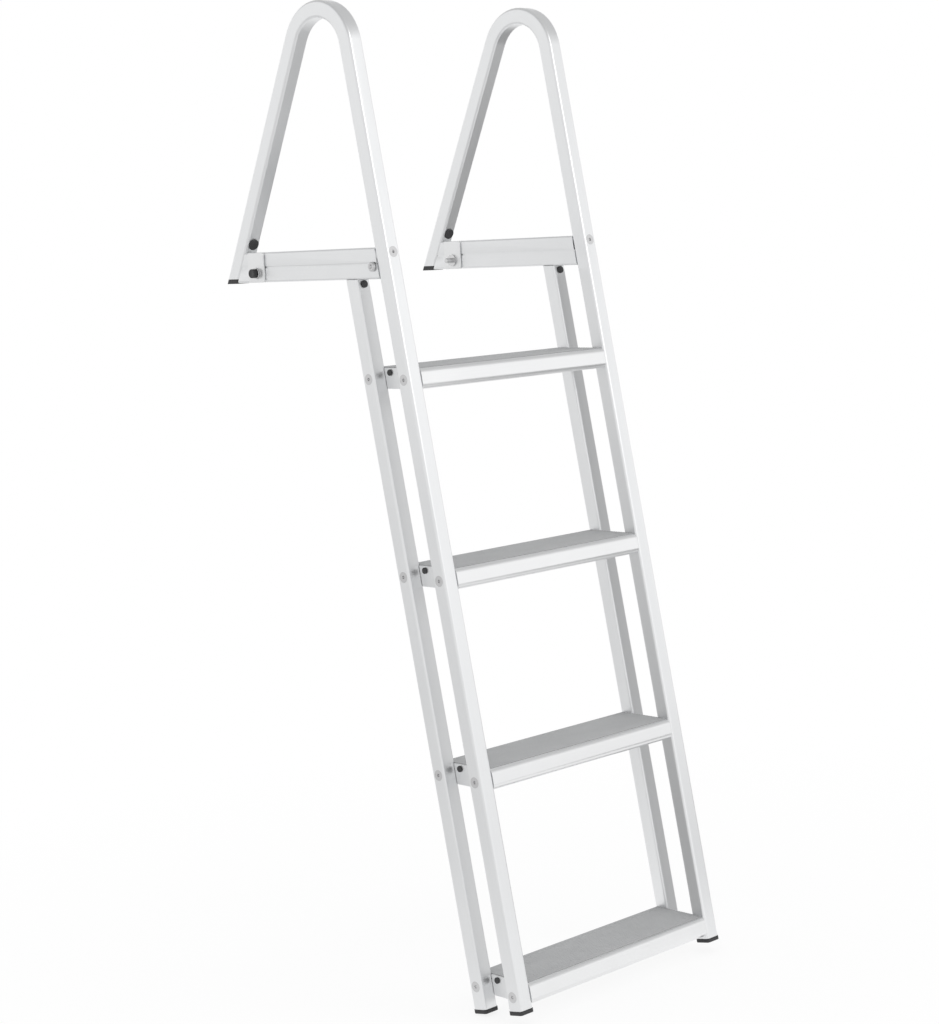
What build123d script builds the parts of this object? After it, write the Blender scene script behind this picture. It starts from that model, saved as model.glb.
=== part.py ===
from build123d import *
import os
from math import cos, hypot, radians, sin, tan

# Boat boarding ladder. It hangs on a deck edge by two deck bars, with a bent handrail hook over
# each bar and four hollow steps below. Frame: X across the ladder, +Y inboard over the deck,
# +Z up. The origin lies on the deck plane, midway between the sides, on the front rails' axis.

# ---- driving dimensions, mm ----
side_spacing = 410.0          # left to right, between the middles of the side frames
tube = 25.0                   # square side tube, outside
tube_wall = 2.0
tube_corner = 4.0             # outer corner radius
rail_lean = 10.2              # degrees from upright, foot towards -Y
rail_gap = 75.0               # front to rear rail axis, level along Y
foot_drop = 5.0               # bottom step's underside to the front rails' cut ends
leg_reach = 353.0             # front rail axis to hook leg axis, on the deck plane
leg_lean = 26.0               # degrees from upright
bend_radius = 63.0            # hook bend, to the tube's axis

bar_lift = 1.0                # deck plane to the deck bar's underside
bar_height = 45.0
bar_wall = 3.0
bar_corner = 3.0
bar_groove_width = 3.0
bar_groove_depth = 1.2

first_step_drop = 128.0       # deck plane down to the top tread
step_pitch = 286.0
bottom_pitch = 305.0
step_count = 4
step_height = 30.0
step_wall = 2.5
step_web = 2.5
nose_radius = 8.0
heel_radius = 3.0
boss_radius = 7.5
end_plate_thickness = 3.0     # closes a step's end between the front and rear rail
end_plate_gap = 0.5           # to each rail
end_screw_place = 12.0        # its axis in front of the rear rail's front face
end_screw_drop = 6.5          # and below the tread
end_boss_radius = 5.0
end_screw_grip = 14.0
end_head_radius = 4.6
end_head_height = 2.4

pad_recess = 1.5
pad_proud = 1.0
pad_nose_edge = 6.0           # bare step left in front of the pad
pad_heel_edge = 5.0
pad_rib_pitch = 5.0
pad_rib_height = 0.8

cap_thickness = 6.0           # black foot caps below the rails' cut ends
cap_overhang = 0.6
spigot_length = 10.0          # up the rails, clear of the bottom step's screws
spigot_wall = 2.2
leg_foot_height = 7.0
leg_spigot_length = 22.0

slip_gap = 0.15               # gap all round what slides into a tube
thread_gap = 0.05             # gap all round a screw in its hole
past = 1.0                    # how far a cutter runs beyond the face it cuts
m8 = 8.0
m6 = 6.0
sleeve_radius = 7.0           # crush sleeve inside a tube
sleeve_bore = 4.2
head_radius = 8.0             # countersunk head of the M8 screws
head_height = 4.0
key_radius = 2.6              # hexagon socket, to its corners
key_depth = 2.4
step_screw_grip = 22.0        # screw length inside the step's boss
joint_screw_grip = 18.0       # screw length inside an insert

insert_length = 42.0          # front insert, inside the deck bar
rail_insert_length = 40.0     # insert in the rear rail's top
cross_screw_place = 26.0      # Y of the cross screw through the bar's front end
cross_screw_rise = 19.0       # its height above the deck plane
rail_joint_rise = 37.0        # height of the screw through the front rail
leg_joint_rise = 38.0         # height of the screw through the hook leg
button_radius = 7.0
button_height = 4.4
cap_screw_drop = 8.0          # rear rail's front screw below the deck plane
cap_head_radius = 5.5
cap_head_height = 3.0
cap_screw_grip = 5.0

cheek_length = 38.0           # plates on both sides of the bar, round the release pin
cheek_thickness = 3.0
cheek_corner = 4.0
plug_rise = 64.0              # black plug in the hook leg's front wall
plug_radius = 8.5
plug_height = 3.0
plug_stem = 5.0
plug_barb = 0.5               # the stem's swelling behind the wall
plug_barb_length = 4.0

pin_setback = 64.0            # level, from the leg's axis on the deck plane to the release pin
pin_rise = 15.0               # release pin's axis above the deck plane
pin_radius = 4.0
pin_travel = 12.0             # outboard pull, which draws the tip flush with the flange
shank_radius = 3.0
pin_clearance = 0.05
housing_radius = 6.5
housing_flange = 2.5
housing_flange_radius = 9.5
guide_length = 7.0
chamber_radius = 5.3
collar_radius = 5.0
collar_length = 2.5
cap_flange = 2.5
cap_flange_radius = 8.5
cap_spigot = 3.5
knob_radius = 6.8
knob_length = 6.5
knob_gap = 0.5
knob_socket = 5.0
spring_wire = 0.9
spring_mean_radius = 4.1
spring_turns = 6.0

# ---- places worked out from them ----
half_span = side_spacing / 2
half = tube / 2
bore_half = half - tube_wall
face_x = half_span - half                     # inner faces of the side tubes
lean = radians(rail_lean)
leg_angle = radians(leg_lean)
rail_up = (sin(lean), cos(lean))              # (y, z) along the rails, upwards
rail_front = (-cos(lean), sin(lean))          # (y, z) out of the rails' front faces
leg_up = (-sin(leg_angle), cos(leg_angle))
leg_front = (-cos(leg_angle), -sin(leg_angle))
bar_top = bar_lift + bar_height
bar_middle = bar_lift + bar_height / 2
step_front = -half / cos(lean)                # Y from the front rail's axis, level
step_depth = rail_gap + 2 * half / cos(lean)
step_length = 2 * face_x
step_tops = [
    -first_step_drop - step_pitch * i - (bottom_pitch - step_pitch) * (i == step_count - 1)
    for i in range(step_count)
]
joint_reach = tube + joint_screw_grip
cross_yz = (cross_screw_place, cross_screw_rise)
pin_yz = (leg_reach - pin_setback, pin_rise)


# ---- helpers ----
def moved(yz, direction, distance):
    return (yz[0] + direction[0] * distance, yz[1] + direction[1] * distance)


def on_rail(z, offset=0.0):
    """Point on a rail's axis at height z; offset is level, along Y."""
    return (z * tan(lean) + offset, z)


def on_leg(z):
    return (leg_reach - z * tan(leg_angle), z)


def cross_plane(yz, direction, x=0.0):
    """Plane square to a (y, z) direction, with its own X along the ladder's X."""
    return Plane(origin=(x, yz[0], yz[1]), x_dir=(1, 0, 0), z_dir=(0, direction[0], direction[1]))


def along(profile, yz, direction, length, x=0.0):
    return extrude(cross_plane(yz, direction, x) * profile, amount=length)


def rod(yz, direction, radius, length, x=0.0):
    return along(Circle(radius), yz, direction, length, x)


def across(yz, radius, x_from, x_to):
    """Round bar along X."""
    plane = Plane(origin=(x_from, yz[0], yz[1]), x_dir=(0, 1, 0), z_dir=(1, 0, 0))
    return extrude(plane * Circle(radius), amount=x_to - x_from)


def side_prism(points, x_from, x_to):
    """Prism along X over an outline of (y, z) points."""
    plane = Plane(origin=(x_from, 0, 0), x_dir=(0, 1, 0), z_dir=(1, 0, 0))
    return extrude(plane * make_face(Polyline(*points, close=True)), amount=x_to - x_from)


def tube_profile():
    inside = RectangleRounded(2 * bore_half, 2 * bore_half, tube_corner - tube_wall)
    return RectangleRounded(tube, tube, tube_corner) - inside


def key_socket(plane):
    return extrude(plane * RegularPolygon(key_radius, 6), amount=key_depth)


def level_block(y, z_from, z_to):
    """Block wider than a side tube, between two levels, for square-to-the-deck cuts."""
    wide = 4 * tube
    return Pos(half_span, y, (z_from + z_to) / 2) * Box(wide, wide, z_to - z_from)


def countersunk(yz, direction, reach, x=0.0):
    """Countersunk M8 screw: yz is the middle of its flat face, direction runs down the shank."""
    plane = cross_plane(yz, direction, x)
    head = extrude(plane * Circle(head_radius), amount=head_height, taper=45)
    shank = rod(moved(yz, direction, head_height / 2), direction, m8 / 2, reach - head_height / 2, x)
    return head + shank - key_socket(plane)


def countersink(yz, direction, through, x=0.0):
    """Cutter for a countersunk head and the hole behind it."""
    gap = thread_gap
    start = moved(yz, direction, -gap)
    head = extrude(
        cross_plane(start, direction, x) * Circle(head_radius + 2 * gap), amount=head_height, taper=45
    )
    return head + rod(yz, direction, sleeve_bore, through, x)


def sleeve(yz, direction, wall, length, x=0.0):
    """Crush sleeve behind a wall, countersunk like the wall's face at yz."""
    ring = along(Circle(sleeve_radius), moved(yz, direction, wall), direction, length, x)
    return ring - countersink(yz, direction, wall + length + past, x)


def mirrored(shape):
    return mirror(shape, about=Plane.YZ)


def write(name, shape):
    shape.label = name
    export_step(shape, f"parts/{name}.step")


def write_pair(stem, shape):
    """Right side as built, left side as its mirror image."""
    write(f"{stem}_right", shape)
    write(f"{stem}_left", mirrored(shape))


def write_group(name, solids):
    write(name, Compound(children=[s for part in solids for s in part.solids()]))


def both_sides(solids):
    return solids + [mirrored(s) for s in solids]


# ---- side frame geometry (right side, x = half_span) ----
rail_end = on_rail(step_tops[-1] - step_height - foot_drop)
rear_end = moved(rail_end, rail_front, -rail_gap * cos(lean))
meet_z = leg_reach / (tan(lean) + tan(leg_angle))
meet = on_rail(meet_z)                          # where rail and leg axes would cross
half_fork = (lean + leg_angle) / 2
tangent_length = bend_radius / tan(half_fork)
rail_tangent = moved(meet, rail_up, -tangent_length)
leg_tangent = moved(meet, leg_up, -tangent_length)
bend_centre = moved(rail_tangent, rail_front, -bend_radius)
bend_sweep = 180 - rail_lean - leg_lean
leg_below = moved(on_leg(0.0), leg_up, -tube)  # on the leg's axis, under the deck plane


def front_rail():
    """Rail, bend and hook leg are one tube."""
    profile = tube_profile()
    rail_length = hypot(rail_tangent[0] - rail_end[0], rail_tangent[1] - rail_end[1])
    rail = along(profile, rail_end, rail_up, rail_length, half_span)
    leg_length = hypot(leg_tangent[0] - leg_below[0], leg_tangent[1] - leg_below[1])
    leg = along(profile, leg_below, leg_up, leg_length, half_span)
    hinge_line = Axis((half_span, bend_centre[0], bend_centre[1]), (-1, 0, 0))
    bend = revolve(cross_plane(rail_tangent, rail_up, half_span) * profile, hinge_line, bend_sweep)
    body = rail + bend + (leg - level_block(leg_reach, -2 * tube, leg_foot_height))
    for yz in step_screw_points(0.0):
        body -= step_screw_cut(yz)
    body -= countersink(*rail_joint(), 2 * tube, half_span)
    body -= countersink(*leg_joint(), 2 * tube, half_span)
    plug_face, plug_inward = plug_joint()
    return body - rod(plug_face, plug_inward, plug_stem + thread_gap, tube_wall + past, half_span)


def step_screw_points(offset):
    """Screw axis of each step, level with the middle of the step."""
    return [on_rail(top - step_height / 2, offset) for top in step_tops]


def step_screw_cut(yz):
    outside = half_span + half
    head = Plane(origin=(outside + thread_gap, yz[0], yz[1]), x_dir=(0, 1, 0), z_dir=(-1, 0, 0))
    cone = extrude(head * Circle(head_radius + 2 * thread_gap), amount=head_height, taper=45)
    return cone + across(yz, sleeve_bore, face_x - past, outside)


def step_screw(yz):
    outside = half_span + half
    plane = Plane(origin=(outside, yz[0], yz[1]), x_dir=(0, 1, 0), z_dir=(-1, 0, 0))
    head = extrude(plane * Circle(head_radius), amount=head_height, taper=45)
    shank = across(yz, m8 / 2, face_x - step_screw_grip, outside - head_height / 2)
    return head + shank - key_socket(plane)


def step_sleeve(yz):
    ring = across(yz, sleeve_radius, face_x + tube_wall, face_x + tube - tube_wall)
    return ring - step_screw_cut(yz)


def rail_joint():
    """Face point and direction of the screw from the front rail into the bar."""
    axis_point = on_rail(rail_joint_rise)
    return moved(axis_point, rail_front, half), (-rail_front[0], -rail_front[1])


def leg_joint():
    axis_point = on_leg(leg_joint_rise)
    return moved(axis_point, leg_front, -half), leg_front


def plug_joint():
    """Face point and inward direction of the plug in the leg's front wall."""
    return moved(on_leg(plug_rise), leg_front, half), (-leg_front[0], -leg_front[1])


def rear_rail():
    """Tube cut level at its top, where it butts under the deck bar."""
    length = (bar_lift - rear_end[1]) / cos(lean) + tube
    body = along(tube_profile(), rear_end, rail_up, length, half_span)
    body -= level_block(rail_gap, bar_lift, 3 * tube)
    for yz in step_screw_points(rail_gap):
        body -= step_screw_cut(yz)
    start, inward = cap_joint()
    body -= rod(start, inward, m6 / 2 + thread_gap, tube_wall + past, half_span)
    return body


def cap_joint():
    """Face point and direction of the capped screw near the rear rail's top."""
    axis_point = on_rail(-cap_screw_drop, rail_gap)
    return moved(axis_point, rail_front, half), (-rail_front[0], -rail_front[1])


def rail_top_insert():
    """Block in the rear rail's top: one screw from the bar, one from the rail's front."""
    side = 2 * (bore_half - slip_gap)
    base = on_rail(bar_lift - rail_insert_length, rail_gap)
    body = along(RectangleRounded(side, side, tube_corner - tube_wall), base, rail_up, 2 * tube, half_span)
    body -= level_block(rail_gap, bar_lift, 3 * tube)
    body -= rod((down_place(), bar_lift + past), (0, -1), m8 / 2 + thread_gap, 2 * tube, half_span)
    start, inward = cap_joint()
    tapped = tube_wall + cap_screw_grip + past
    return body - rod(start, inward, m6 / 2 + thread_gap, tapped, half_span)


def down_place():
    """Y of the upright screw: the middle of the rear rail halfway down its thread."""
    return on_rail(bar_lift - joint_screw_grip / 2, rail_gap)[0]


def cap_screw():
    start, inward = cap_joint()
    outward = (-inward[0], -inward[1])
    head = rod(start, outward, cap_head_radius, cap_head_height, half_span)
    head = fillet(head.edges().group_by(Axis((0, 0, 0), (0, *outward)))[-1], cap_head_height / 3)
    return head + rod(start, inward, m6 / 2, tube_wall + cap_screw_grip, half_span)


# ---- deck bar ----
def mitred(low_z, high_z, half_width, gap=0.0):
    """Prism between the front rail's rear face and the hook leg's front face."""
    rail_face = half / cos(lean) + gap
    leg_face = half / cos(leg_angle) + gap
    outline = [
        (on_rail(low_z)[0] + rail_face, low_z),
        (on_leg(low_z)[0] - leg_face, low_z),
        (on_leg(high_z)[0] - leg_face, high_z),
        (on_rail(high_z)[0] + rail_face, high_z),
    ]
    return side_prism(outline, half_span - half_width, half_span + half_width)


def deck_bar():
    body = mitred(bar_lift, bar_top, half)
    body = fillet(body.edges().filter_by(Axis.Y), bar_corner)
    body -= mitred(bar_lift + bar_wall, bar_top - bar_wall, half - bar_wall, -tube)
    for side in (-1, 1):
        groove_x = half_span + side * half
        body -= Pos(groove_x, leg_reach / 2, bar_middle) * Box(
            2 * bar_groove_depth, 2 * leg_reach, bar_groove_width
        )
    body -= across(cross_yz, m8 / 2 + thread_gap, half_span, half_span + tube)
    body -= across(
        pin_yz, housing_radius + thread_gap, face_x - past, face_x + tube + past
    )
    down_face = (down_place(), bar_top)
    return body - countersink(down_face, (0, -1), bar_height + past, half_span)


def insert_block(y_from, y_to):
    gap = slip_gap
    block = mitred(bar_lift + bar_wall + gap, bar_top - bar_wall - gap, half - bar_wall - gap, gap)
    keep = side_prism(
        [(y_from, -tube), (y_to, -tube), (y_to, 3 * tube), (y_from, 3 * tube)],
        half_span - tube,
        half_span + tube,
    )
    return block & keep


def front_insert():
    start, inward = rail_joint()
    body = insert_block(-tube, half / cos(lean) + insert_length)
    body -= rod(start, inward, m8 / 2 + thread_gap, joint_reach + past, half_span)
    return body - across(cross_yz, m8 / 2 + thread_gap, face_x, half_span + half)


def rear_insert():
    start, inward = leg_joint()
    body = insert_block(pin_yz[0] - 2 * housing_radius, leg_reach)
    body -= rod(start, inward, m8 / 2 + thread_gap, joint_reach + past, half_span)
    return body - across(pin_yz, housing_radius + thread_gap, face_x, half_span + half)


def cross_screw():
    outside = half_span + half
    head = across(cross_yz, button_radius, outside, outside + button_height)
    head = fillet(head.edges().group_by(Axis.X)[-1], button_height / 2)
    plane = Plane(origin=(outside + button_height, *cross_yz), x_dir=(0, 1, 0), z_dir=(-1, 0, 0))
    shank = across(cross_yz, m8 / 2, face_x + bar_wall + past, outside)
    return head + shank - key_socket(plane)


# ---- steps ----
def step_outline(top, inset):
    """Section of a step in (y, z), its front face along the rails' front faces."""
    front = on_rail(top)[0] + step_front
    slope = tan(lean)
    low = top - step_height + inset
    high = top - inset
    return [
        (front - (top - high) * slope + inset / cos(lean), high),
        (front + step_depth - inset, high),
        (front + step_depth - inset - (high - low) * slope, low),
        (front - (top - low) * slope + inset / cos(lean), low),
    ]


def step(top):
    """Hollow extrusion with a screw boss and a cross of webs at each rail."""
    body = side_prism(step_outline(top, 0.0), -face_x, face_x)
    body = fillet(body.edges().filter_by(Axis.X).sort_by(Axis.Y)[:2], nose_radius)
    body = fillet(body.edges().filter_by(Axis.X).sort_by(Axis.Y)[-2:], heel_radius)
    chambers = side_prism(step_outline(top, step_wall), -face_x - past, face_x + past)
    chambers = fillet(chambers.edges().filter_by(Axis.X).sort_by(Axis.Y)[:2], nose_radius - step_wall)
    middle = top - step_height / 2
    web_middle = on_rail(middle)[0] + rail_gap / 2
    chambers -= Pos(0, web_middle, middle) * Box(2 * step_length, rail_gap, step_web)
    for offset in (0.0, rail_gap):
        yz = on_rail(middle, offset)
        chambers -= across(yz, boss_radius, -step_length, step_length)
        chambers -= Pos(0, yz[0], middle) * Box(2 * step_length, step_web, 2 * step_height)
    chambers -= across(end_screw_yz(top), end_boss_radius, -step_length, step_length)
    body -= chambers
    for offset in (0.0, rail_gap):
        yz = on_rail(middle, offset)
        body -= across(yz, m8 / 2 + thread_gap, -step_length, step_length)
    body -= across(end_screw_yz(top), m6 / 2 + thread_gap, -step_length, step_length)
    return body - pad_block(top, top + past, 0.0, face_x + past)


def end_screw_yz(top):
    """Screw at a step's end, in a boss under the top wall."""
    return on_rail(top - end_screw_drop, rail_gap - half / cos(lean) - end_screw_place)


def end_plate(top):
    """Plate over a step's open end, between the rails."""
    low = top - step_height
    front = half / cos(lean) + end_plate_gap
    back = rail_gap - front
    outline = [on_rail(low, front), on_rail(low, back), on_rail(top, back), on_rail(top, front)]
    body = side_prism(outline, face_x, face_x + end_plate_thickness)
    return body - across(end_screw_yz(top), m6 / 2 + thread_gap, face_x - past, face_x + tube)


def end_screw(top):
    yz = end_screw_yz(top)
    seat = face_x + end_plate_thickness
    head = across(yz, end_head_radius, seat, seat + end_head_height)
    head = fillet(head.edges().group_by(Axis.X)[-1], end_head_height / 3)
    return head + across(yz, m6 / 2, face_x - end_screw_grip, seat)


def pad_block(top, z_to, gap, half_length):
    """Block over the tread's recess, gap clear of the recess at its front and back."""
    front = on_rail(top)[0] + step_front + pad_nose_edge + gap
    back = on_rail(top)[0] + step_front + step_depth - pad_heel_edge - gap
    floor = top - pad_recess
    outline = [(front, floor), (back, floor), (back, z_to), (front, z_to)]
    return side_prism(outline, -half_length, half_length)


def grip_pad(top):
    """Rubber strip with ribs along the step."""
    pad = pad_block(top, top + pad_proud, slip_gap, face_x - slip_gap)
    box = pad.bounding_box()
    valleys = int((box.max.Y - box.min.Y) / pad_rib_pitch) - 1
    first = (box.min.Y + box.max.Y - (valleys - 1) * pad_rib_pitch) / 2
    for i in range(valleys):
        valley = Box(2 * step_length, pad_rib_pitch / 2, 2 * pad_rib_height)
        pad -= Pos(0, first + i * pad_rib_pitch, top + pad_proud) * valley
    return pad


# ---- black caps ----
def tube_cap(end, direction):
    """Foot cap on a tube's cut end: a block outside and a hollow spigot inside."""
    outward = (-direction[0], -direction[1])
    side = tube + 2 * cap_overhang
    block = along(RectangleRounded(side, side, tube_corner), end, outward, cap_thickness, half_span)
    rim = block.faces().sort_by(Axis((0, 0, 0), (0, *outward)))[-1]
    block = fillet(rim.edges(), cap_thickness / 6)
    wide = 2 * (bore_half - slip_gap)
    corner = tube_corner - tube_wall
    ring = RectangleRounded(wide, wide, corner)
    ring -= Rectangle(wide - 2 * spigot_wall, wide - 2 * spigot_wall)
    return block + along(ring, end, direction, spigot_length, half_span)


def leg_foot():
    """Level sole under the leaning leg, with a spigot up its bore."""
    sole = along(RectangleRounded(tube, tube, tube_corner), leg_below, leg_up, 3 * tube, half_span)
    wide = 2 * (bore_half - slip_gap)
    plug = RectangleRounded(wide, wide, tube_corner - tube_wall)
    spigot = along(plug, leg_below, leg_up, tube + leg_spigot_length, half_span)
    spigot -= level_block(leg_reach, -3 * tube, 0.0)
    return (sole & level_block(leg_reach, 0.0, leg_foot_height)) + spigot


# ---- cheek plates, plugs and release pins ----
cheek_inner = face_x - cheek_thickness          # outside of the plate on the bar's inboard side
cheek_outer = face_x + tube + cheek_thickness
flange_face = cheek_inner - housing_flange
chamber_start = flange_face + guide_length
cap_face = cheek_outer + cap_flange
spigot_face = cheek_outer - cap_spigot
collar_face = chamber_start + pin_clearance
spring_start = collar_face + collar_length


def cheek_plate(bar_side, outward):
    """Plate as high as the bar, with a tongue in the bar's groove."""
    x_from, x_to = sorted((bar_side, bar_side + outward * cheek_thickness))
    plane = Plane(origin=(x_from, pin_yz[0], bar_middle), x_dir=(0, 1, 0), z_dir=(1, 0, 0))
    body = extrude(plane * RectangleRounded(cheek_length, bar_height, cheek_corner), amount=x_to - x_from)
    outer_face = body.faces().sort_by(Axis.X)[-1 if outward > 0 else 0]
    body = chamfer(outer_face.edges(), cheek_thickness / 5)
    depth = bar_groove_depth - slip_gap
    tongue = Box(depth, cheek_length - 2 * cheek_corner, bar_groove_width - 2 * slip_gap)
    body += Pos(bar_side - outward * depth / 2, pin_yz[0], bar_middle) * tongue
    return body - across(pin_yz, housing_radius + thread_gap, x_from - tube, x_to + tube)


def leg_plug():
    """Round black plug snapped into the leg's front wall."""
    face, inward = plug_joint()
    outward = (-inward[0], -inward[1])
    head = rod(face, outward, plug_radius, plug_height, half_span)
    head = fillet(head.edges().group_by(Axis((0, 0, 0), (0, *outward)))[-1], plug_height / 3)
    stem = rod(face, inward, plug_stem, tube_wall + plug_barb_length, half_span)
    barb_start = moved(face, inward, tube_wall + thread_gap)
    barb = rod(barb_start, inward, plug_stem + plug_barb, plug_barb_length - thread_gap, half_span)
    return head + stem + barb


def pin_housing():
    body = across(pin_yz, housing_radius, flange_face, cheek_outer)
    body += across(pin_yz, housing_flange_radius, flange_face, cheek_inner)
    body -= across(pin_yz, pin_radius + pin_clearance, flange_face - past, chamber_start + past)
    return body - across(pin_yz, chamber_radius, chamber_start, cheek_outer + past)


def housing_cap():
    body = across(pin_yz, cap_flange_radius, cheek_outer, cap_face)
    body += across(pin_yz, chamber_radius - thread_gap, spigot_face, cheek_outer)
    return body - across(pin_yz, shank_radius + pin_clearance, spigot_face - past, cap_face + past)


def release_pin():
    tip = across(pin_yz, pin_radius, flange_face - pin_travel, spring_start)
    tip = chamfer(tip.edges().group_by(Axis.X)[0], pin_radius / 4)
    collar = across(pin_yz, collar_radius, collar_face, spring_start)
    shank = across(pin_yz, shank_radius, spring_start, cap_face + knob_gap + knob_socket)
    return tip + collar + shank


def pull_knob():
    start = cap_face + knob_gap
    body = across(pin_yz, knob_radius, start, start + knob_length)
    body = fillet(body.edges().group_by(Axis.X)[-1], knob_length / 6)
    return body - across(pin_yz, shank_radius, start - past, start + knob_socket)


def pin_spring():
    """Round wire between the collar and the housing cap."""
    free = spigot_face - spring_start - spring_wire - 2 * thread_gap
    path = Helix(pitch=free / spring_turns, height=free, radius=spring_mean_radius)
    start = path @ 0
    section = Plane(origin=start, z_dir=path % 0) * Circle(spring_wire / 2)
    coil = sweep(section, path=path, is_frenet=True)
    first = spring_start + spring_wire / 2 + thread_gap
    return Pos(first, *pin_yz) * Rot(0, 90, 0) * coil


# ---- write every piece ----
os.makedirs("parts", exist_ok=True)

write_pair("front_rail", front_rail())
write_pair("rear_rail", rear_rail())
write_pair("deck_bar", deck_bar())
write_pair("front_insert", front_insert())
write_pair("rear_insert", rear_insert())
write_pair("rail_top_insert", rail_top_insert())
write_pair("front_foot", tube_cap(rail_end, rail_up))
write_pair("rear_foot", tube_cap(rear_end, rail_up))
write_pair("leg_foot", leg_foot())
write_pair("cheek_plate_inner", cheek_plate(face_x, -1))
write_pair("cheek_plate_outer", cheek_plate(face_x + tube, 1))
write_pair("pin_housing", pin_housing())
write_pair("housing_cap", housing_cap())
write_pair("release_pin", release_pin())
write_pair("pull_knob", pull_knob())
write_pair("pin_spring", pin_spring())

for number, step_top in enumerate(step_tops, start=1):
    write(f"step_{number}", step(step_top))
    write(f"grip_pad_{number}", grip_pad(step_top))

screw_points = step_screw_points(0.0) + step_screw_points(rail_gap)
write_group("step_screws", both_sides([step_screw(yz) for yz in screw_points]))
write_group("step_sleeves", both_sides([step_sleeve(yz) for yz in screw_points]))
rail_face_point, rail_inward = rail_joint()
leg_face_point, leg_inward = leg_joint()
sleeve_length = tube - 2 * tube_wall
write_group("rail_screws", both_sides([countersunk(rail_face_point, rail_inward, joint_reach, half_span)]))
write_group("leg_screws", both_sides([countersunk(leg_face_point, leg_inward, joint_reach, half_span)]))
write_group(
    "joint_sleeves",
    both_sides(
        [
            sleeve(rail_face_point, rail_inward, tube_wall, sleeve_length, half_span),
            sleeve(leg_face_point, leg_inward, tube_wall, sleeve_length, half_span),
        ]
    ),
)
down_start = (down_place(), bar_top)
down_reach = bar_height + joint_screw_grip
write_group("down_screws", both_sides([countersunk(down_start, (0, -1), down_reach, half_span)]))
down_sleeve = sleeve(down_start, (0, -1), bar_wall, bar_height - 2 * bar_wall, half_span)
write_group("down_sleeves", both_sides([down_sleeve]))
write_group("cross_screws", both_sides([cross_screw()]))
write_group("cap_screws", both_sides([cap_screw()]))
write_group("leg_plugs", both_sides([leg_plug()]))
write_group("end_plates", both_sides([end_plate(top) for top in step_tops]))
write_group("end_screws", both_sides([end_screw(top) for top in step_tops]))
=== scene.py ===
from math import cos, radians, sin, tan

import bmesh
import bpy
from mathutils import Matrix, Vector


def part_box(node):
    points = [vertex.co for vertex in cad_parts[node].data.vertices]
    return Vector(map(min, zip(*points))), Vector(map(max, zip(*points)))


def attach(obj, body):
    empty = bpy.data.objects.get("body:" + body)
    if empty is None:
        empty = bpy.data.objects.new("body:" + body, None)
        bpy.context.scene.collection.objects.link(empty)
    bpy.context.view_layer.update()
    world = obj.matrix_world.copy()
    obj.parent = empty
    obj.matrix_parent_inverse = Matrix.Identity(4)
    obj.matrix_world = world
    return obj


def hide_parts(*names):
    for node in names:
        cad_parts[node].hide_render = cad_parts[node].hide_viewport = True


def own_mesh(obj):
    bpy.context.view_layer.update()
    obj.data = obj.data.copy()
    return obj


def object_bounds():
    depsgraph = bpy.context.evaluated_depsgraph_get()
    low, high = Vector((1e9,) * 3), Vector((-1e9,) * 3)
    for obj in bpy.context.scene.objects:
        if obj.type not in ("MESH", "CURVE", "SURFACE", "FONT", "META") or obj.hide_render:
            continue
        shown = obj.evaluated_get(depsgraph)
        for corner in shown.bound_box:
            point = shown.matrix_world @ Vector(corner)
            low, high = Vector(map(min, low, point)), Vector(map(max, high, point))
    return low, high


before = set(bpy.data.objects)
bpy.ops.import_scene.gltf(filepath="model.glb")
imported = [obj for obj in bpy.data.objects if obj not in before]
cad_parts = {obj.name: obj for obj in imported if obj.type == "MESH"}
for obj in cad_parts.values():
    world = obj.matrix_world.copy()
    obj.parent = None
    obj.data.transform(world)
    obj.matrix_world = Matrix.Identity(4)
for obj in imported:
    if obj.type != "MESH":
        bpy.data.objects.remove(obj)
cad_low, cad_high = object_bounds()


# ---- side tubes ----
# Four square aluminium tubes, 25 mm with a 2 mm wall. The two front ones are bent over into the
# handrail hooks. All are satin anodised, so they show the faint marks that drawing left along them.
scene = bpy.context.scene
SIDES = ("left", "right")
rail_lean = radians(10.2)
leg_lean = radians(26.0)
weld_distance = 0.000002


class Value:
    """A socket of a shader node. Arithmetic on it adds Math nodes."""

    def __init__(self, finish, socket):
        self.finish = finish
        self.socket = socket

    def math(self, operation, first, second):
        return self.finish.node("ShaderNodeMath", {"operation": operation}, {0: first, 1: second})

    def __add__(self, other):
        return self.math("ADD", self, other)

    def __radd__(self, other):
        return self.math("ADD", other, self)

    def __sub__(self, other):
        return self.math("SUBTRACT", self, other)

    def __rsub__(self, other):
        return self.math("SUBTRACT", other, self)

    def __mul__(self, other):
        return self.math("MULTIPLY", self, other)

    def __rmul__(self, other):
        return self.math("MULTIPLY", other, self)

    def __gt__(self, other):
        return self.math("GREATER_THAN", self, other)


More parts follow.
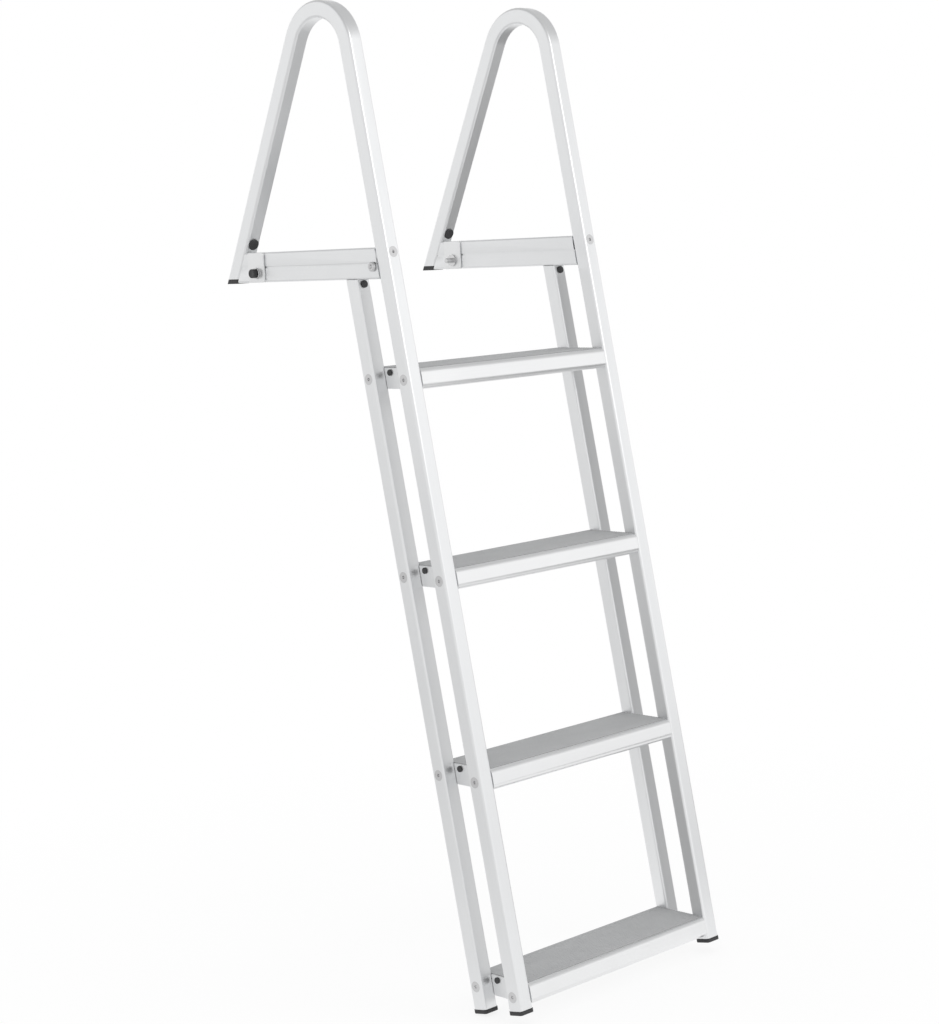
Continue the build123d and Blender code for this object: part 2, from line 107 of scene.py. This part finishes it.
class Finish:
    """A surface finish being mixed: a node tree, and one method that adds any node to it."""

    def __init__(self, owner):
        owner.use_nodes = True
        self.owner = owner
        self.tree = owner.node_tree
        self.tree.nodes.clear()

    def node(self, kind, settings=None, sockets=None, out=0):
        made = self.tree.nodes.new(kind)
        for name, setting in (settings or {}).items():
            setattr(made, name, setting)
        for name, given in (sockets or {}).items():
            if isinstance(given, Value):
                self.tree.links.new(given.socket, made.inputs[name])
            else:
                made.inputs[name].default_value = given
        return Value(self, made.outputs[out]) if len(made.outputs) else made

    def place(self):
        return self.node("ShaderNodeTexCoord", out="Object")

    def grain(self, size, detail, seed, turn=(0.0, 0.0, 0.0), place=None):
        """Noise whose grains are size metres along each of the turned axes."""
        turned = self.node(
            "ShaderNodeMapping",
            {"vector_type": "TEXTURE"},
            {"Vector": place or self.place(), "Rotation": turn, "Scale": size},
        )
        return self.node(
            "ShaderNodeTexNoise",
            {"noise_dimensions": "4D"},
            {"Vector": turned, "W": seed, "Scale": 1.0, "Detail": detail, "Roughness": 0.55},
        )

    def blend(self, mask, low, high):
        return self.node(
            "ShaderNodeMix",
            {"data_type": "RGBA"},
            {"Factor": mask, 6: (*low, 1.0), 7: (*high, 1.0)},
            out=2,
        )

    def bump(self, height, depth, strength):
        return self.node(
            "ShaderNodeBump", None, {"Height": height, "Distance": depth, "Strength": strength}
        )

    def surface(self, sockets):
        shader = self.node("ShaderNodeBsdfPrincipled", None, sockets)
        self.node("ShaderNodeOutputMaterial", None, {"Surface": shader})
        return self.owner


def anodised(name, low, high, size, turn=(0.0, 0.0, 0.0), roughness=0.36, place=None):
    """Satin anodised aluminium: fine marks of one size and direction over broad, faint patches."""
    finish = Finish(bpy.data.materials.new(name))
    where = place(finish) if place else None
    marks = finish.grain(size, detail=3.0, seed=1.0, turn=turn, place=where)
    patches = finish.grain((0.05, 0.05, 0.09), detail=1.5, seed=7.0, turn=turn)
    smoothest = roughness - 0.06
    return finish.surface(
        {
            "Base Color": finish.blend(marks * 0.55 + patches * 0.45, low, high),
            "Metallic": 1.0,
            "Roughness": smoothest + marks * 0.08 + patches * 0.04,
            "Normal": finish.bump(marks, 0.00006, 0.5),
        }
    )


def dressed(node, finish, body="ladder", smooth_angle=32.0, even=True):
    """Copy of a CAD node with its loose triangles joined, shaded smooth and given its finish.

    Even shading keeps the wide faces flat beside their rounded edges.
    """
    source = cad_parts[node]
    mesh = source.data.copy()
    shape = bmesh.new()
    shape.from_mesh(mesh)
    bmesh.ops.remove_doubles(shape, verts=shape.verts, dist=weld_distance)
    shape.to_mesh(mesh)
    shape.free()
    mesh.shade_smooth()
    mesh.set_sharp_from_angle(angle=radians(smooth_angle))
    mesh.materials.clear()
    mesh.materials.append(finish)
    piece = bpy.data.objects.new(f"dressed_{node}", mesh)
    scene.collection.objects.link(piece)
    if even:
        shading = piece.modifiers.new("even_shading", "WEIGHTED_NORMAL")
        shading.keep_sharp = True
    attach(piece, body)
    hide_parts(node)
    return piece


rail_turn = (-rail_lean, 0.0, 0.0)
along_tube = (0.0011, 0.0011, 0.35)
tube_low, tube_high = (0.80, 0.81, 0.82), (0.90, 0.905, 0.91)
bend_middle = (0.0, 0.123, 0.328)


def hook_place(finish):
    """Object coordinates, turned behind the bend's middle so that the marks follow the leg."""
    where = finish.place()
    depth = finish.node("ShaderNodeSeparateXYZ", None, {"Vector": where}, out="Y")
    on_leg = depth > bend_middle[1]
    turned = finish.node(
        "ShaderNodeVectorRotate",
        {"rotation_type": "X_AXIS"},
        {"Vector": where, "Center": bend_middle, "Angle": -(leg_lean + rail_lean)},
    )
    return finish.node(
        "ShaderNodeMix",
        {"data_type": "VECTOR"},
        {"Factor": on_leg, 4: where, 5: turned},
        out=1,
    )


rear_tube = anodised("rear_tube", tube_low, tube_high, along_tube, rail_turn)
hook_tube = anodised("hook_tube", tube_low, tube_high, along_tube, rail_turn, place=hook_place)
for side in SIDES:
    dressed(f"front_rail_{side}", hook_tube)
    dressed(f"rear_rail_{side}", rear_tube)


# ---- deck bars ----
# Rectangular aluminium extrusions that lie over the deck, grooved along each side and sawn to the
# slopes of the tubes they meet. The screws run into solid aluminium blocks in the bars and in the
# rear tubes' tops, and through sleeves that keep the tubes from being crushed.
bar_low, bar_high = (0.79, 0.80, 0.81), (0.89, 0.895, 0.90)
along_bar = (0.0011, 0.30, 0.0011)
bar_finish = anodised("deck_bar_anodised", bar_low, bar_high, along_bar)
block_low, block_high = (0.66, 0.67, 0.68), (0.78, 0.785, 0.79)
cutter_marks = (0.004, 0.0006, 0.004)
block_finish = anodised("milled_block", block_low, block_high, cutter_marks, roughness=0.42)
for side in SIDES:
    dressed(f"deck_bar_{side}", bar_finish)
    for block in ("front_insert", "rear_insert", "rail_top_insert"):
        dressed(f"{block}_{side}", block_finish)
for sleeves in ("step_sleeves", "joint_sleeves", "down_sleeves"):
    dressed(sleeves, block_finish)


# ---- steps ----
# Hollow aluminium extrusions with a round nose, webs and screw bosses. They are sawn square, held
# between the side tubes by two screws a side, and recessed on top for the grip.
STEPS = range(1, 5)
step_low, step_high = (0.84, 0.845, 0.85), (0.92, 0.925, 0.93)
along_step = (0.30, 0.0011, 0.0011)
step_finish = anodised("step_anodised", step_low, step_high, along_step, roughness=0.33)
for number in STEPS:
    dressed(f"step_{number}", step_finish)


# ---- grip pads ----
# Grey rubber strips glued in the steps' recesses, with round-topped ribs along the step and a
# flat border at the front and back. The rubber is dull and slightly dusty.
rib_pitch = 0.005
rib_height = 0.0008
rib_rows = 6
valley_slope = 2.2
border = 0.005
level_within = 1e-7
rubber_low, rubber_high = (0.31, 0.315, 0.32), (0.48, 0.485, 0.49)


def rubber():
    finish = Finish(bpy.data.materials.new("grip_rubber_grey"))
    speckle = finish.grain((0.0012, 0.0012, 0.0012), detail=4.0, seed=3.0)
    dust = finish.grain((0.06, 0.03, 0.03), detail=2.0, seed=5.0)
    return finish.surface(
        {
            "Base Color": finish.blend(speckle * 0.6 + dust * 0.4, rubber_low, rubber_high),
            "Roughness": 0.70 + dust * 0.16,
            "Specular IOR Level": 0.35,
            "Normal": finish.bump(speckle, 0.00025, 0.6),
        }
    )


grip_finish = rubber()


def finished(name, shape, finish, smooth_angle, body="ladder"):
    """Object from a bmesh already in its place, with its normals outward."""
    bmesh.ops.recalc_face_normals(shape, faces=shape.faces)
    mesh = bpy.data.meshes.new(name)
    shape.to_mesh(mesh)
    shape.free()
    mesh.shade_smooth()
    mesh.set_sharp_from_angle(angle=radians(smooth_angle))
    mesh.materials.append(finish)
    piece = bpy.data.objects.new(name, mesh)
    scene.collection.objects.link(piece)
    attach(piece, body)
    return piece


def open_edges(shape):
    return [edge for edge in shape.edges if edge.is_boundary]


def pulled_out(shape, edges):
    """Corners of a new strip of faces drawn from the edges."""
    made = bmesh.ops.extrude_edge_only(shape, edges=edges)["geom"]
    return [corner for corner in made if isinstance(corner, bmesh.types.BMVert)]


def ribbed_strip(number):
    """Grid pressed into ribs, with a border at the front and back, a skirt and an underside."""
    low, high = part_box(f"grip_pad_{number}")
    middle = (low + high) / 2
    ribs = int((high.y - low.y - 2 * border) / rib_pitch)
    half_ribbed = ribs * rib_pitch / 2
    shape = bmesh.new()
    bmesh.ops.create_grid(shape, x_segments=1, y_segments=ribs * rib_rows, size=1.0)
    bmesh.ops.scale(shape, vec=((high.x - low.x) / 2, half_ribbed, 1.0), verts=shape.verts)
    for corner in shape.verts:
        phase = (corner.co.y + half_ribbed) / rib_pitch % 1.0
        from_valley = min(phase, 1.0 - phase) * 2
        valley = (1.0 - min(1.0, from_valley * valley_slope)) ** 2
        corner.co.z = high.z - rib_height * valley
        corner.co += Vector((middle.x, middle.y, 0.0))
    for edge in open_edges(shape):
        first, second = edge.verts
        if abs(first.co.y - second.co.y) < level_within:
            outer_y = high.y if first.co.y > middle.y else low.y
            for corner in pulled_out(shape, [edge]):
                corner.co.y = outer_y
                corner.co.z = high.z
    for corner in pulled_out(shape, open_edges(shape)):
        corner.co.z = low.z
    bmesh.ops.contextual_create(shape, geom=open_edges(shape))
    piece = finished(f"grip_strip_{number}", shape, grip_finish, smooth_angle=50.0)
    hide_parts(f"grip_pad_{number}")


for number in STEPS:
    ribbed_strip(number)


# ---- black caps and feet ----
# Moulded caps pressed into the tubes' cut ends by hollow spigots; those of the hook legs stand
# level on the deck. A round plug snaps into the front of each hook leg. The plastic is matt black
# with a fine grain.
def black_plastic(name, low, high, roughness):
    finish = Finish(bpy.data.materials.new(name))
    fine_grain = finish.grain((0.0009, 0.0009, 0.0009), detail=3.0, seed=11.0)
    scuffs = finish.grain((0.012, 0.012, 0.03), detail=3.0, seed=13.0)
    return finish.surface(
        {
            "Base Color": finish.blend(scuffs, low, high),
            "Roughness": roughness + scuffs * 0.12,
            "Normal": finish.bump(fine_grain, 0.00012, 0.5),
        }
    )


cap_low, cap_high = (0.018, 0.018, 0.019), (0.042, 0.042, 0.044)
cap_finish = black_plastic("cap_black", cap_low, cap_high, roughness=0.46)
for side in SIDES:
    for cap in ("front_foot", "rear_foot", "leg_foot"):
        dressed(f"{cap}_{side}", cap_finish)
dressed("leg_plugs", cap_finish)


# ---- cheek plates ----
# Two aluminium plates on each deck bar, tumbled so that their edges are soft. A tongue on each sits
# in the bar's groove, and the release pin's housing clamps both to the bar.
plate_low, plate_high = (0.80, 0.805, 0.81), (0.90, 0.905, 0.91)
tumble_marks = (0.006, 0.006, 0.006)
plate_finish = anodised("tumbled_plate", plate_low, plate_high, tumble_marks, roughness=0.38)
for side in SIDES:
    for plate in ("cheek_plate_inner", "cheek_plate_outer"):
        dressed(f"{plate}_{side}", plate_finish)


# ---- step end plates ----
# Aluminium plates over the steps' open ends, between the front and rear tubes. Each is held by one
# black-headed screw into the step's end.
dressed("end_plates", plate_finish)


# ---- release pins ----
# Turned stainless pins in flanged housings through the bars. A spring holds each pin inboard, and
# the black knob draws it back into its housing. The knobs are fluted for grip.
knob_low, knob_high = (0.020, 0.020, 0.021), (0.046, 0.046, 0.048)
knob_finish = black_plastic("knob_black", knob_low, knob_high, roughness=0.38)
flutes = 20
faces_per_flute = 4


def steel(name, low, high, roughness, size=(0.0015, 0.0005, 0.0005)):
    finish = Finish(bpy.data.materials.new(name))
    marks = finish.grain(size, detail=2.0, seed=17.0)
    return finish.surface(
        {
            "Base Color": finish.blend(marks, low, high),
            "Metallic": 1.0,
            "Roughness": roughness + marks * 0.10,
            "Normal": finish.bump(marks, 0.00003, 0.5),
        }
    )


pin_low, pin_high = (0.62, 0.62, 0.625), (0.76, 0.76, 0.765)
pin_finish = steel("turned_pin_steel", pin_low, pin_high, 0.20, size=(0.0004, 0.02, 0.02))
wire_finish = steel("spring_wire_steel", (0.50, 0.50, 0.51), (0.66, 0.66, 0.67), 0.26)


def fluted_knob(side):
    """Round grip along Z with flutes round it and a dished end, then turned to point outboard."""
    low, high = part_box(f"pull_knob_{side}")
    middle = (low + high) / 2
    radius = (high.z - low.z) / 2
    length = high.x - low.x
    end_round = length * 0.12
    flute_rim, flute_depth = radius * 0.02, radius * 0.06
    dish_rim, dish_wall, dish_depth = radius * 0.22, radius * 0.10, length * 0.05
    shape = bmesh.new()
    bmesh.ops.create_cone(
        shape,
        cap_ends=True,
        segments=flutes * faces_per_flute,
        radius1=radius,
        radius2=radius,
        depth=length,
    )
    rings = [e for e in shape.edges if abs(e.verts[0].co.z - e.verts[1].co.z) < level_within]
    bmesh.ops.bevel(
        shape,
        geom=rings,
        offset=end_round,
        offset_type="OFFSET",
        segments=3,
        profile=0.5,
        affect="EDGES",
        material=-1,
    )
    half_barrel = length / 2 - end_round
    barrel = [face for face in shape.faces if abs(face.calc_center_median().z) < half_barrel]
    barrel.sort(key=lambda face: face.calc_center_median().to_2d().angle_signed(Vector((1, 0))))
    hollow = barrel[::faces_per_flute]
    bmesh.ops.inset_region(shape, faces=hollow, thickness=flute_rim, depth=-flute_depth)
    tip = max(shape.faces, key=lambda face: face.calc_center_median().z)
    bmesh.ops.inset_region(shape, faces=[tip], thickness=dish_rim, depth=0.0)
    bmesh.ops.inset_region(shape, faces=[tip], thickness=dish_wall, depth=-dish_depth)
    outboard = radians(90 if side == "right" else -90)
    bmesh.ops.rotate(shape, verts=shape.verts, matrix=Matrix.Rotation(outboard, 3, "Y"))
    bmesh.ops.translate(shape, verts=shape.verts, vec=middle)
    piece = finished(f"fluted_knob_{side}", shape, knob_finish, 30.0, f"release_{side}")
    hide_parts(f"pull_knob_{side}")


# The springs draw up by a hair more than the pins' 12 mm, which keeps the collars clear of them.
for side in SIDES:
    dressed(f"release_pin_{side}", pin_finish, f"release_{side}")
    for turned in ("pin_housing", "housing_cap"):
        dressed(f"{turned}_{side}", pin_finish)
    fluted_knob(side)
    coil = dressed(f"pin_spring_{side}", wire_finish, smooth_angle=60.0, even=False)
    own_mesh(coil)


# ---- screws ----
# Stainless M8 screws with hexagon sockets: countersunk ones through the tubes, and one button head
# on each bar's outer side. Black-headed M6 screws hold the end plates and the rear tubes' tops.
screw_finish = steel("screw_steel", (0.58, 0.58, 0.585), (0.72, 0.72, 0.725), 0.24)
for screws in ("step_screws", "rail_screws", "leg_screws", "down_screws", "cross_screws"):
    dressed(screws, screw_finish)
for screws in ("cap_screws", "end_screws"):
    dressed(screws, knob_finish)


# ---- floor ----
# A white floor under the lowest feet, with a faint shadow near the ladder and plain white further
# out. The metal mirrors it as light grey, darker towards the left, and still darker in a soft oval
# patch at the right, which shades the hooks' sloping fronts.
floor_radius = 14.0
floor_gap = 0.0005
patch_middle = (2.0, -0.4, 0.0)
patch_size = (1.0, 1.7, 1.0)
WHITE = (1.0, 1.0, 1.0, 1.0)


def graded(finish, value, start, end, first, last, curve="LINEAR"):
    """Turns start to end of the value into first to last, which it keeps outside them."""
    return finish.node(
        "ShaderNodeMapRange",
        {"interpolation_type": curve},
        {"Value": value, "From Min": start, "From Max": end, "To Min": first, "To Max": last},
    )


def glowing(finish, strength):
    return finish.node("ShaderNodeEmission", None, {"Color": WHITE, "Strength": strength})


def distance(finish, place):
    return finish.node("ShaderNodeVectorMath", {"operation": "LENGTH"}, {0: place}, out="Value")


def stage_white():
    finish = Finish(bpy.data.materials.new("floor_white"))
    where = finish.place()
    far = graded(finish, distance(finish, where), 0.4, 1.6, 0.86, 1.0)
    seen = finish.node("ShaderNodeLightPath", out="Is Camera Ray")
    mirrored = finish.node("ShaderNodeLightPath", out="Is Glossy Ray")
    on_patch = finish.node(
        "ShaderNodeMapping",
        {"vector_type": "TEXTURE"},
        {"Vector": where, "Location": patch_middle, "Scale": patch_size},
    )
    patch_dim = graded(finish, distance(finish, on_patch), 0.7, 1.5, 0.30, 1.0, "SMOOTHSTEP")
    from_left = finish.node("ShaderNodeSeparateXYZ", None, {"Vector": where}, out="X")
    left_dim = graded(finish, from_left, -0.9, 0.2, 0.74, 0.97)
    lit = finish.node("ShaderNodeBsdfDiffuse", None, {"Color": (0.86, 0.86, 0.86, 1.0)})
    plain = glowing(finish, 1.0)
    in_metal = glowing(finish, left_dim * patch_dim)
    viewed = finish.node("ShaderNodeMixShader", None, {"Fac": seen * far, 1: lit, 2: plain})
    mixed = finish.node("ShaderNodeMixShader", None, {"Fac": mirrored, 1: viewed, 2: in_metal})
    finish.node("ShaderNodeOutputMaterial", None, {"Surface": mixed})
    return finish.owner


floor_shape = bmesh.new()
bmesh.ops.create_circle(floor_shape, cap_ends=True, segments=64, radius=floor_radius)
floor_mesh = bpy.data.meshes.new("floor")
floor_shape.to_mesh(floor_mesh)
floor_shape.free()
floor_mesh.materials.append(stage_white())
floor = bpy.data.objects.new("floor", floor_mesh)
floor.location = (0.0, -0.1, cad_low.z - floor_gap)
scene.collection.objects.link(floor)


# ---- grey cards ----
# One-sided cards close to the side tubes, leaning like them, which only the metal mirrors. One
# stands to the right of each pair of tubes and shades the rear tube's front. The third shades the
# right front tube's inner face.
rail_slope = tan(rail_lean)
card_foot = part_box("front_rail_left")[0].z
card_top = -0.004


def card_grey(name, foot_level, top_level):
    """Glow that goes evenly from one level near the bottom step to another near the deck."""
    finish = Finish(bpy.data.materials.new(name))
    height = finish.node("ShaderNodeSeparateXYZ", None, {"Vector": finish.place()}, out="Z")
    shade = glowing(finish, graded(finish, height, -0.85, -0.05, foot_level, top_level))
    outer_side = finish.node("ShaderNodeNewGeometry", out="Backfacing")
    clear = finish.node("ShaderNodeBsdfTransparent")
    one_sided = finish.node("ShaderNodeMixShader", None, {"Fac": outer_side, 1: shade, 2: clear})
    finish.node("ShaderNodeOutputMaterial", None, {"Surface": one_sided})
    return finish.owner


def grey_card(name, first, second, foot_level, top_level):
    """Card between two (x, y) points of the deck's level. It faces -X or -Y."""
    shape = bmesh.new()
    ends = ((first, card_foot), (second, card_foot), (second, card_top), (first, card_top))
    corners = [shape.verts.new((x, y + z * rail_slope, z)) for (x, y), z in ends]
    card_face = shape.faces.new(corners)
    card_face.normal_update()
    if card_face.normal.x + card_face.normal.y > 0:
        card_face.normal_flip()
    mesh = bpy.data.meshes.new(name)
    shape.to_mesh(mesh)
    shape.free()
    mesh.materials.append(card_grey(name, foot_level, top_level))
    card = bpy.data.objects.new(name, mesh)
    card.visible_camera = False
    card.visible_diffuse = False
    card.visible_shadow = False
    card.visible_transmission = False
    scene.collection.objects.link(card)


card_depth = 0.061
beside_right, beside_left = 0.2225, -0.1885  # x, just to the right of each pair of tubes
inner_from, inner_to = (0.105, 0.018), (0.190, 0.018)
grey_card("grey_card_right", (beside_right, 0.0), (beside_right, card_depth), 0.48, 0.46)
grey_card("grey_card_left", (beside_left, 0.0), (beside_left, card_depth), 0.68, 0.62)
grey_card("grey_card_inner", inner_from, inner_to, 0.42, 0.78)


# ---- light ----
# A white room, a little darker at the viewer's left, and one large soft lamp in front and above.
# The metal mirrors the room's ceiling as light grey.
room = Finish(bpy.data.worlds.new("white_room"))
scene.world = room.owner
camera_ray = room.node("ShaderNodeLightPath", out="Is Camera Ray")
glossy_ray = room.node("ShaderNodeLightPath", out="Is Glossy Ray")
facing = room.node("ShaderNodeTexCoord", out="Generated")
from_left = room.node("ShaderNodeSeparateXYZ", None, {"Vector": facing}, out="X")
side_dim = graded(room, from_left, -0.9, 0.1, 0.97, 1.03)
upwards = room.node("ShaderNodeSeparateXYZ", None, {"Vector": facing}, out="Z")
ceiling_dim = graded(room, upwards, 0.22, 0.54, 0.0, 0.42)
level = camera_ray + (1.0 - camera_ray) * side_dim * (1.0 - glossy_ray * ceiling_dim)
glow = room.node("ShaderNodeBackground", None, {"Color": WHITE, "Strength": level})
room.node("ShaderNodeOutputWorld", None, {"Surface": glow})

lamp_place = Vector((0.6, -3.2, 1.6))
lamp_aim = Vector((0.0, 0.0, -0.4))
lamp_data = bpy.data.lights.new("front_lamp", "AREA")
lamp_data.shape = "SQUARE"
lamp_data.size = 1.8
lamp_data.energy = 22.0
front_lamp = bpy.data.objects.new("front_lamp", lamp_data)
front_lamp.location = lamp_place
front_lamp.rotation_euler = (lamp_aim - lamp_place).to_track_quat("-Z", "Y").to_euler()
scene.collection.objects.link(front_lamp)


# ---- camera ----
# To the left of the ladder and in front of it, a little above the deck, with a long lens. The whole
# ladder fits in the picture, and the yaw, pitch and roll are in radians.
eye = Vector((-2.38587, -2.42214, 0.07030))
yaw, pitch, roll = 0.7615, -0.1253, -0.0523
ahead = Vector((sin(yaw) * cos(pitch), cos(yaw) * cos(pitch), sin(pitch)))
level_right = Vector((cos(yaw), -sin(yaw), 0.0))
level_up = level_right.cross(ahead)
right = level_right * cos(roll) + level_up * sin(roll)
up = level_up * cos(roll) - level_right * sin(roll)
lens_data = bpy.data.cameras.new("camera")
lens_data.sensor_width = 36.0
lens_data.lens = 79.89
camera = bpy.data.objects.new("camera", lens_data)
facing_frame = Matrix((right, up, -ahead)).transposed().to_4x4()
camera.matrix_world = Matrix.Translation(eye) @ facing_frame
scene.collection.objects.link(camera)
scene.camera = camera

scene.view_settings.view_transform = "Standard"
